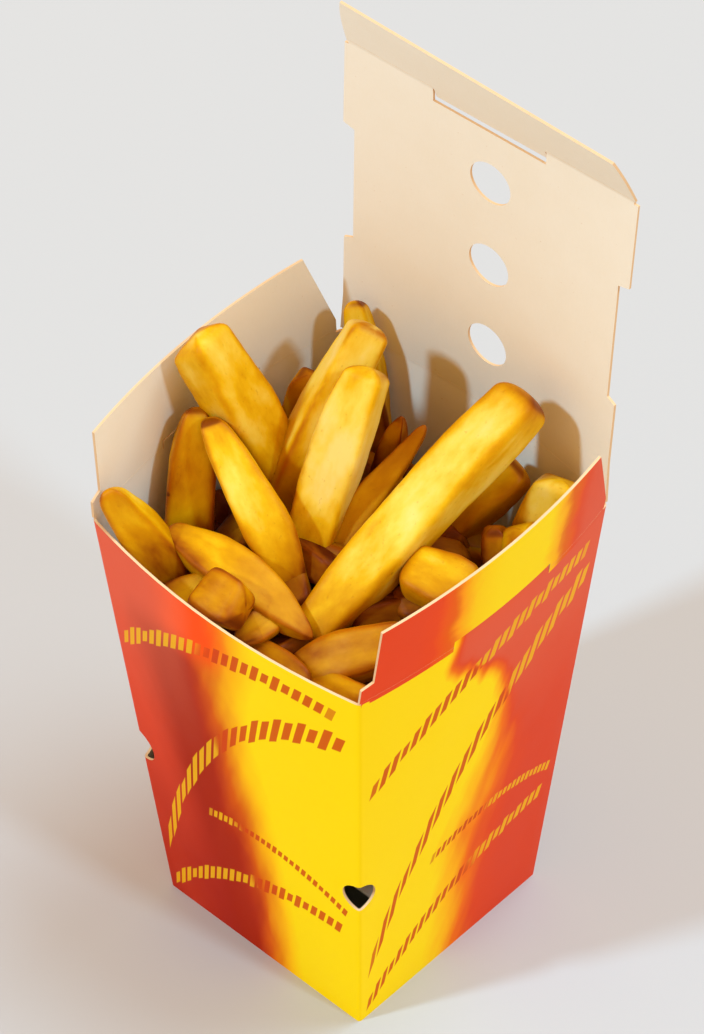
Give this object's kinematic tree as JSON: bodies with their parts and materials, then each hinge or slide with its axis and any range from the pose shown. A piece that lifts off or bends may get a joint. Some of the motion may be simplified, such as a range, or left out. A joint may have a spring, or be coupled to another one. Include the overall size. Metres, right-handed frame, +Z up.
{
  "type": "fries in a carton",
  "caption": "Open square board carton, wider at its mouth, with a raised inner floor, two side flaps, a tall vented lid and a tuck flap, heaped with thick-cut fries.",
  "frame": {"origin": "middle of the carton's foot, on the surface it stands on", "axes": "+Z up; -Y towards the low front wall, +Y towards the back wall that carries the lid; +X and -X towards the walls with side flaps"},
  "size_m": [0.1055, 0.1027, 0.2582],
  "materials": {
    "printed_board": "coated board, printed in soft fields of yellow, orange and red",
    "plain_board": "cream uncoated board",
    "fries": "golden fried potato with browned edges and a light film of oil"
  },
  "bodies": {
    "carton": {"carton_body": "printed_board", "inner_floor": "plain_board", "fries_heap": "fries"},
    "flap_right": {"side_flap_right": "printed_board"},
    "flap_left": {"side_flap_left": "printed_board"},
    "lid": {"lid_panel": "plain_board"},
    "tuck": {"tuck_flap": "plain_board"}
  },
  "joints": [
    {"name": "lid_fold", "type": "hinge", "parent": "carton", "child": "lid", "pos_m": [0, 0.04965, 0.14335], "axis": [-1, 0, 0], "range_deg": [-7, 100]},
    {"name": "tuck_fold", "type": "hinge", "parent": "lid", "child": "tuck", "pos_m": [0, 0.04962, 0.24116], "axis": [0.9984, 0.057, 0], "range_deg": [-20, 68]},
    {"name": "flap_right_fold", "type": "hinge", "parent": "carton", "child": "flap_right", "pos_m": [0.04965, 0, 0.14335], "axis": [0, 1, 0], "range_deg": [-7, 100]},
    {"name": "flap_left_fold", "type": "hinge", "parent": "carton", "child": "flap_left", "pos_m": [-0.04965, 0, 0.14335], "axis": [0, -1, 0], "range_deg": [-4, 100]}
  ]
}
